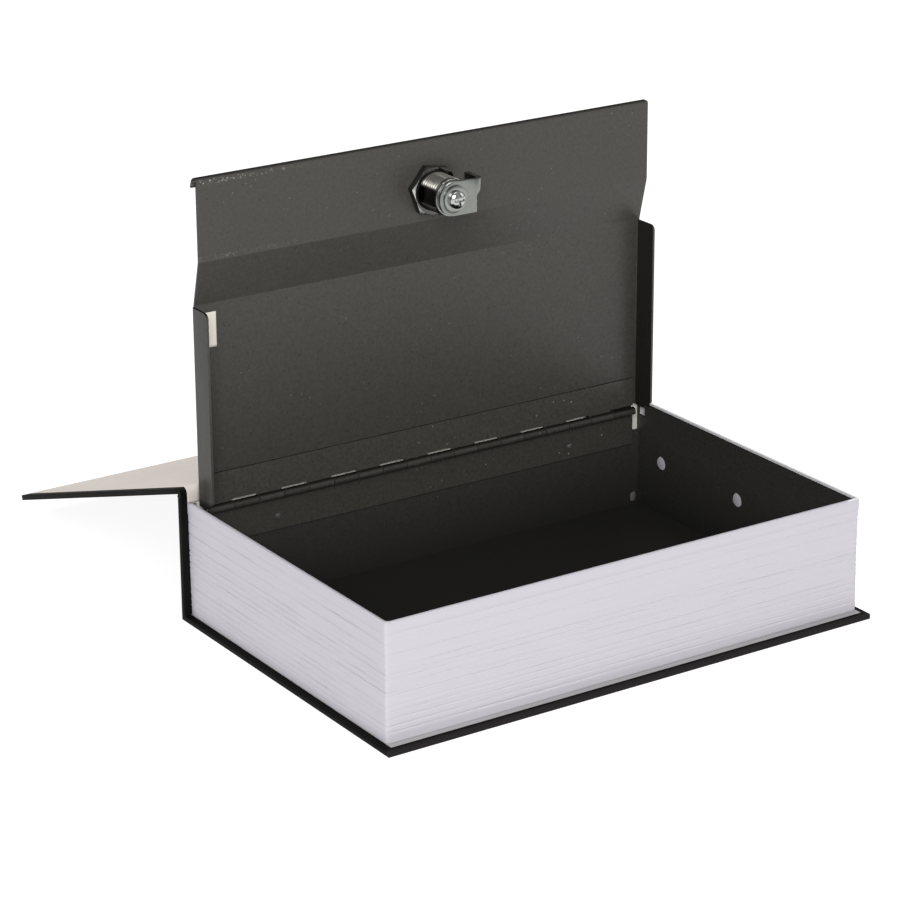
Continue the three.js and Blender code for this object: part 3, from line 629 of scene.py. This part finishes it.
# Lit and shaded copies of one hinge paint: the lid's leaf is painted lighter and the box's leaf
# darker, as painted light and shade, and both have bright specks as painted glints.
LEAF_PAINT = hammertone(
    "leaf_paint",
    dark=(0.053, 0.0505, 0.0445),
    light=(0.076, 0.073, 0.066),
    speck=(0.3, 0.3, 0.27),
    gloss=0.3,
    upward_shade=0.2,
)
BOX_LEAF_PAINT = hammertone(
    "box_leaf_paint",
    dark=(0.044, 0.042, 0.037),
    light=(0.064, 0.061, 0.055),
    speck=(0.3, 0.3, 0.27),
    gloss=0.3,
    upward_shade=0.2,
)
# A lit copy of the paint, lighter and with white specks: painted highlight that stands for the
# glints on the rivet heads.
RIVET_PAINT = hammertone(
    "rivet_paint",
    dark=(0.06, 0.06, 0.055),
    light=(0.11, 0.11, 0.105),
    speck=(0.5, 0.5, 0.5),
    gloss=0.12,
)
# A shaded copy of the lid's paint: its darker tones are painted shade in the tray, which also gets
# painted shade on faces that look up and towards its foot.
TRAY_PAINT = hammertone(
    "tray_paint",
    dark=(0.036, 0.0345, 0.033),
    light=(0.049, 0.0475, 0.0455),
    speck=(0.1, 0.1, 0.1),
    gloss=0.4,
    upward_shade=0.08,
    foot=0.55,
)
CLOTH = leatherette("leatherette")
PAPER = endpaper("endpaper", (0.69, 0.63, 0.58), (0.73, 0.675, 0.625))
BACK_PAPER = endpaper("back_endpaper", (0.39, 0.375, 0.385), (0.43, 0.415, 0.42))
PAGES = page_edges("page_edges")
CHROME = plated("chrome", (0.5, 0.51, 0.495), 0.17)
# Its first colour is the painted shade in the thread's roots.
BARREL_CHROME = thread_plate("barrel_chrome", (0.02, 0.019, 0.018), (0.36, 0.35, 0.32), 0.3)
# Its second colour is the painted highlight on the left chamfers.
NUT_CHROME = nut_plate("nut_chrome", (0.105, 0.105, 0.097), (0.72, 0.74, 0.7), 0.16)
CAM_CHROME = plated("cam_chrome", (0.245, 0.253, 0.237), 0.24, rings=True)
WASHER_CHROME = plated("washer_chrome", (0.3, 0.31, 0.295), 0.2)
STEEL = plated("bright_steel", (0.5, 0.5, 0.49), 0.32)
BRASS = plated("brass", (0.55, 0.42, 0.2), 0.35)
BOARD = board("board")
LABEL = label("label")


# Carried-over nodes

SHEET_PAINTS = (LID_PAINT, TRAY_PAINT, LEAF_PAINT, BOX_LEAF_PAINT)

for name, material, edge in (
    ("steel_tray", TRAY_PAINT, 0.15),
    ("strike_channel", TRAY_PAINT, 0.2),
    ("lid_panel", LID_PAINT, 0.15),
    ("lid_hinge_leaf", LEAF_PAINT, 0.1),
    ("box_hinge_leaf", BOX_LEAF_PAINT, 0.1),
    ("hinge_rivet_1", RIVET_PAINT, 0.1),
    ("hinge_rivet_2", RIVET_PAINT, 0.1),
    ("hinge_pin", STEEL, 0.1),
    ("lock_nut", NUT_CHROME, 0.6),
    ("lock_plug", CHROME, 0.12),
    ("stop_washer", WASHER_CHROME, 0.12),
    ("cam", CAM_CHROME, 0.3),
    ("cam_washer", WASHER_CHROME, 0.12),
    ("cam_screw", CHROME, 0.14),
    ("wafer_1", BRASS, 0.05),
    ("wafer_2", BRASS, 0.05),
    ("wafer_3", BRASS, 0.05),
    ("wafer_4", BRASS, 0.05),
    ("wafer_5", BRASS, 0.05),
    ("back_board", BOARD, 0.1),
    ("spine_board", BOARD, 0.1),
    ("front_board", BOARD, 0.1),
    ("back_endpaper", BACK_PAPER, 0.04),
):
    node = nodes[name]
    node.data.materials.clear()
    node.data.materials.append(material)
    if material == NUT_CHROME:
        soften(node, edge, segments=4, crease=40)
    else:
        soften(node, edge, crease=12 if material in SHEET_PAINTS else 24)


# Book case

half_length = CASE_LENGTH / 2
half_depth = CASE_DEPTH / 2
case_stops = [
    -half_length,
    *steps(-half_length + 4, half_length - 4, LENGTH_STEPS),
    half_length,
]
paper_end = half_length - PAPER_MARGIN
paper_stops = steps(-paper_end, paper_end, LENGTH_STEPS)
spine_inner = half_depth - SPINE_THICKNESS


def case_cloth():
    """The cloth over the back cover and the spine, one L in section."""
    outline = [
        (-half_depth, 0),
        *steps_between((-half_depth, 0), (half_depth, 0), COVER_ROWS),
        (half_depth, 0),
        (half_depth, SPINE_TOP),
        (spine_inner, SPINE_TOP),
        (spine_inner, COVER_THICKNESS),
        (-half_depth, COVER_THICKNESS),
    ]
    piece = make_piece("case_wrap", *along_x(outline, case_stops), CLOTH)
    soften(piece, CLOTH_EDGE, 4, 60)
    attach(piece, "root")
    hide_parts("case_cloth")


def swung_open(y, z):
    """A point of the closed front cover, where it lies with the cover open."""
    turn = math.radians(-COVER_ANGLE)
    dy, dz = y - COVER_AXIS[0], z - COVER_AXIS[1]
    return (
        COVER_AXIS[0] + dy * math.cos(turn) - dz * math.sin(turn),
        COVER_AXIS[1] + dy * math.sin(turn) + dz * math.cos(turn),
    )


def front_cover():
    """The cloth-covered board and the paper that lines it."""
    inner = COVER_OUTER - COVER_THICKNESS
    rows = steps(-half_depth, COVER_START, COVER_ROWS)
    outline = [(y, COVER_OUTER) for y in rows] + [(y, inner) for y in reversed(rows)]
    outline = [swung_open(y, z) for y, z in outline]
    piece = make_piece("cover_wrap", *along_x(outline, case_stops), CLOTH)
    soften(piece, CLOTH_EDGE, 4, 60)
    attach(piece, "front_cover")
    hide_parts("front_cloth")

    rows = [y for y in rows if y > -half_depth + PAPER_MARGIN]
    rows = [-half_depth + PAPER_MARGIN, *rows]
    top, low = inner - PAPER_GAP, inner - PAPER_GAP - PAPER_THICKNESS
    outline = [(y, top) for y in rows] + [(y, low) for y in reversed(rows)]
    outline = [swung_open(y, z) for y, z in outline]
    paper = make_piece("cover_paper", *along_x(outline, paper_stops), PAPER)
    soften(paper, 0.04, 2, 60)
    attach(paper, "front_cover")
    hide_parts("front_endpaper")


def cover_joint():
    """The cloth and the paper that bend between the spine and the cover."""
    end_y, end_z = swung_open(COVER_START, COVER_OUTER)
    droop = COVER_ANGLE - 180
    crease = (
        end_y - CREASE_INSET * math.cos(math.radians(droop)),
        end_z + CREASE_INSET * math.sin(math.radians(droop)),
    )
    radius = crease[0] - spine_inner
    slot_low, slot_high = end_z - 0.4, end_z - 0.1
    slot_end = half_depth - 1.4
    outline = [
        (spine_inner, SPINE_TOP + 0.1),
        (half_depth, SPINE_TOP + 0.1),
        (half_depth, slot_low),
        (slot_end, slot_low),
        (slot_end - 0.1, (slot_low + slot_high) / 2),
        (slot_end, slot_high),
        (crease[0], slot_high),
        crease,
        *arc(crease, radius, 90 - droop, 180, 14),
        (spine_inner, slot_high - 0.15),
        (spine_inner, slot_low),
    ]
    cloth = make_piece("joint_wrap", *along_x(outline, case_stops), CLOTH, smooth=False)
    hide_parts("front_joint")
    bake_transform(cloth)

    inner, outer = radius + PAPER_GAP, radius + PAPER_GAP + PAPER_THICKNESS
    left, right = crease[0] - outer, crease[0] - inner
    heights = [PAGE_TOP + PAPER_GAP, *JOINT_PAPER_HEIGHTS, crease[1] - 0.2]
    outline = [
        *[(right, z) for z in heights],
        *arc(crease, inner, 180, 90 - droop, 14),
        *arc(crease, outer, 90 - droop, 180, 14),
        *[(left, z) for z in reversed(heights)],
    ]
    paper = make_piece("joint_lining", *along_x(outline, paper_stops), PAPER)
    crease_over(paper, 40)
    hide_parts("joint_paper")
    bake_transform(paper)


case_cloth()
front_cover()
cover_joint()


# Page block


def groove_share(height, x, y):
    """How deep the skin lies in its grooves at a point, from 0 to 1."""
    deepest = 0.0
    for index, level in enumerate(GROOVE_HEIGHTS):
        away = Vector((x * 0.02, y * 0.02, index * 7.3))
        wander = 0.4 * noise.noise(away) + 0.14 * noise.noise(away * 7)
        strength = 0.62 + 0.75 * noise.noise(away * 2.3 + Vector((5, 0, 0)))
        offset = abs(height - level - wander)
        if offset < GROOVE_HALF_WIDTH:
            share = (0.5 + 0.5 * math.cos(math.pi * offset / GROOVE_HALF_WIDTH)) * strength
            deepest = max(deepest, share)
    return min(deepest, 1.0)


def leaf_swell(height, x, y):
    """A slight swell and lean of the leaf bundles, in millimetres."""
    return 0.12 * noise.noise(Vector((x * 0.012, y * 0.012, height * 0.55)))


def page_skin():
    """Outlines of the moulded page edges, from the smooth band to the foot."""
    outlines = []
    for inset, level in (
        (BAND_EDGE, PAGE_TOP),
        (0.0, PAGE_TOP - BAND_EDGE_HEIGHT),
        (0.0, PAGE_BAND + BAND_EDGE_HEIGHT),
        (BAND_EDGE, PAGE_BAND),
    ):
        outlines.append([(x, y, level) for x, y in page_outline(inset)])
    flat = page_outline(BAND_PROUD)
    undercut_top = PAGE_FOOT + FOOT_UNDERCUT_HEIGHT
    for level in (
        *steps(PAGE_BAND - 0.05, undercut_top, PAGE_ROWS),
        *steps(undercut_top - 0.02, PAGE_FOOT + FOOT_LIFT, PAGE_FOOT_ROWS),
    ):
        row = []
        for x, y in flat:
            depth = GROOVE_DEPTH * groove_share(level, x, y) + leaf_swell(level, x, y)
            depth -= PAGE_DRAFT * max(0.0, 1 - (level - PAGE_FOOT) / PAGE_DRAFT_HEIGHT)
            if level < undercut_top:
                depth += FOOT_UNDERCUT
            if y > PAGE_BACK - 0.5:
                depth = 0.0 if abs(x) < PAGE_END - 4 else depth
                row.append((x - math.copysign(depth, x), y, level))
            else:
                pull, pull_front = edge_pull(x, PAGE_END - BAND_PROUD), edge_pull_front(y)
                row.append((x - pull * depth, y + pull_front * depth, level))
        outlines.append(row)
    return outlines


def page_outline(inset):
    """The page edges seen from above, moved in by inset on three sides."""
    return rounded_rectangle(
        -PAGE_END + inset,
        PAGE_FRONT + inset,
        PAGE_END - inset,
        PAGE_BACK,
        PAGE_CORNER,
        PAGE_SPACING,
    )


def page_hollow(level):
    """The hollow that holds the tray, seen from above."""
    outline = rounded_rectangle(
        -PAGE_END + PAGE_WALL,
        PAGE_FRONT + PAGE_WALL,
        PAGE_END - PAGE_WALL,
        PAGE_BACK - PAGE_BACK_WALL,
        PAGE_HOLLOW_CORNER,
        PAGE_SPACING,
    )
    return [(x, y, level) for x, y in outline]


def edge_pull(x, end):
    """How squarely a point of the outline faces along X, from -1 to 1."""
    reach = abs(x) - (end - PAGE_CORNER)
    return math.copysign(max(0.0, min(1.0, reach / PAGE_CORNER)), x)


def edge_pull_front(y):
    """How squarely a point of the outline faces the fore-edge, from 0 to 1."""
    reach = (PAGE_FRONT + BAND_PROUD + PAGE_CORNER) - y
    return max(0.0, min(1.0, reach / PAGE_CORNER))


def bridge_loops(vertices, faces, first, second):
    """Adds the faces between two closed loops of different point counts."""
    base = len(vertices)
    vertices += first + second
    work = bmesh.new()
    loops = []
    for loop in (first, second):
        made = [work.verts.new(p) for p in loop]
        loops.append([work.edges.new((a, b)) for a, b in zip(made, made[1:] + made[:1])])
    work.verts.index_update()
    result = bmesh.ops.bridge_loops(work, edges=loops[0] + loops[1])
    for face in result["faces"]:
        index = [v.index for v in face.verts]
        faces.append([base + i for i in index])
    work.free()


def page_block():
    """Moulded page edges around a hollow, with three pegs in each end."""
    skin = page_skin()
    vertices, faces = swept(skin)
    faces = faces[2:]
    hollow_top, hollow_low = page_hollow(PAGE_TOP), page_hollow(PAGE_FOOT + FOOT_LIFT)
    bridge_loops(vertices, faces, skin[0], hollow_top)
    bridge_loops(vertices, faces, hollow_top, hollow_low)
    bridge_loops(vertices, faces, skin[-1], hollow_low)
    parts = [(vertices, faces)]
    for side in (-1, 1):
        for row in (-1, 0, 1):
            y = PEG_MIDDLE + row * PEG_SPACING
            rings = []
            for x, radius in (
                (PAGE_END - 1, PEG_RADIUS),
                (PEG_END + 0.25, PEG_RADIUS),
                (PEG_END + 0.07, PEG_RADIUS - 0.07),
                (PEG_END, PEG_RADIUS - 0.25),
            ):
                last = 360 - 360 / PEG_SIDES
                ring = arc((y, PEG_HEIGHT), radius, 0, last, PEG_SIDES - 1)
                rings.append([(side * x, py, pz) for py, pz in ring])
            parts.append(swept(rings))
    piece = make_piece("page_edges", *joined(parts), PAGES)
    weld(piece)
    crease_over(piece, 50)
    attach(piece, "root")
    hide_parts("page_block")


page_block()


# Lock


def lock_barrel():
    """The threaded barrel and its round head, bored for the plug."""
    rows = []
    back = LOCK_FACE + LID_SHEET
    front = back + LOCK_HEAD_HEIGHT
    end = LOCK_FACE - BARREL_LENGTH

    def ring(radius, y, turn=0.0):
        """Points around the axis; turn is the thread's share of its full depth."""
        made = []
        for i in range(BARREL_SIDES):
            angle = 2 * math.pi * i / BARREL_SIDES
            depth = 0.0
            if turn:
                phase = (y / THREAD_PITCH + i / BARREL_SIDES) % 1
                depth = THREAD_DEPTH * turn * abs(2 * phase - 1)
            r = radius - depth
            side = r * math.cos(angle)
            if turn:
                side = max(-BARREL_FLAT, min(BARREL_FLAT, side))
            made.append((LOCK_X + side, y, LOCK_Z + r * math.sin(angle)))
        return made

    rows.append(ring(BARREL_BORE, end + 0.3))
    rows.append(ring(BARREL_BORE + 0.3, end))
    rows.append(ring(BARREL_RADIUS - 0.9, end))
    count = round((LOCK_FACE - end - 0.6) / THREAD_PITCH * THREAD_ROWS)
    for y in steps(end + 0.5, LOCK_FACE - 0.1, count):
        fade = min(1.0, (y - end) / 1.2)
        rows.append(ring(BARREL_RADIUS - 0.25 * (1 - fade), y, 0.3 + 0.7 * fade))
    rows.append(ring(BARREL_RADIUS, back))
    rows.append(ring(LOCK_HEAD_RADIUS - 0.2, back))
    rows.append(ring(LOCK_HEAD_RADIUS, back + 0.2))
    rim = (front - LOCK_HEAD_ROUND, LOCK_HEAD_RADIUS - LOCK_HEAD_ROUND)
    for y, radius in arc(rim, LOCK_HEAD_ROUND, 90, 0, 5):
        rows.append(ring(radius, y))
    rows.append(ring(LOCK_DISH_RADIUS + 0.2, front))
    rows.append(ring(LOCK_DISH_RADIUS, front - 0.2))
    rows.append(ring(LOCK_DISH_RADIUS, front - LOCK_DISH_DEPTH))
    rows.append(ring(BARREL_BORE, front - LOCK_DISH_DEPTH))
    rows.append(rows[0])
    vertices, faces = swept(rows)
    piece = make_piece("lock_barrel", vertices, faces[2:], BARREL_CHROME)
    weld(piece)
    crease_over(piece, 38)
    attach(piece, "lid")
    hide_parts("lock_body")


lock_barrel()


def sticker():
    """The bare label on the lid's inner face, a little lifted at one corner."""
    columns = steps(STICKER_LEFT, STICKER_RIGHT, 8)
    rows = steps(STICKER_LOW, STICKER_HIGH, 14)
    vertices, faces = [], []
    for z in rows:
        for x in columns:
            across = (x - STICKER_LEFT) / (STICKER_RIGHT - STICKER_LEFT)
            up = (z - STICKER_LOW) / (STICKER_HIGH - STICKER_LOW)
            lift = 0.12 + 0.25 * max(0.0, across + up - 1.6) ** 2
            vertices.append((x, LID_INNER - lift, z))
    width = len(columns)
    for row in range(len(rows) - 1):
        for column in range(width - 1):
            a = row * width + column
            faces.append([a, a + 1, a + width + 1, a + width])
    piece = make_piece("sticker", vertices, faces, LABEL)
    solid = piece.modifiers.new("Solidify", "SOLIDIFY")
    solid.thickness = 0.09 * MM
    solid.offset = 0
    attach(piece, "lid")


sticker()


# Studio


def studio():
    """A white floor and sky, three area lamps and the camera."""
    size = FLOOR_HALF
    mesh = bpy.data.meshes.new("floor")
    corners = [(-size, -size, 0), (size, -size, 0), (size, size, 0), (-size, size, 0)]
    mesh.from_pydata(corners, [], [(0, 1, 2, 3)])
    mesh.materials.append(studio_floor("studio_floor"))
    floor = bpy.data.objects.new("floor", mesh)
    bpy.context.scene.collection.objects.link(floor)

    world = bpy.data.worlds.new("studio")
    bpy.context.scene.world = world
    world.use_nodes = True
    sky = world.node_tree.nodes["Background"]
    sky.inputs["Color"].default_value = (1, 1, 1, 1)
    sky.inputs["Strength"].default_value = SKY_STRENGTH

    for name, place, aim, width, height, power in (
        ("key", (-0.85, -1.35, 1.05), (0, 0, 0.08), 1.1, 0.9, 22),
        ("back", (0.35, 0.9, 1.6), (0, 0.05, 0.05), 1.4, 1.0, 15),
        ("right", (1.5, -0.7, 0.8), (0, 0, 0.08), 0.7, 0.9, 3),
    ):
        light = bpy.data.lights.new(name, "AREA")
        light.shape = "RECTANGLE"
        light.size, light.size_y = width, height
        light.energy = power
        lamp = bpy.data.objects.new(name, light)
        bpy.context.scene.collection.objects.link(lamp)
        lamp.location = place
        lamp.rotation_euler = (Vector(aim) - Vector(place)).to_track_quat("-Z", "Y").to_euler()

    right, up = Vector(CAMERA_RIGHT).normalized(), Vector(CAMERA_UP)
    back = right.cross(up).normalized()
    up = back.cross(right)
    camera = bpy.data.objects.new("camera", bpy.data.cameras.new("camera"))
    bpy.context.scene.collection.objects.link(camera)
    camera.matrix_world = Matrix.Translation(Vector(CAMERA_PLACE) * MM) @ Matrix(
        (right, up, back)
    ).transposed().to_4x4()
    camera.data.lens = CAMERA_LENS
    camera.data.sensor_width = CAMERA_SENSOR
    camera.data.clip_end = 50
    bpy.context.scene.camera = camera
    bpy.context.scene.view_settings.view_transform = "Standard"


studio()
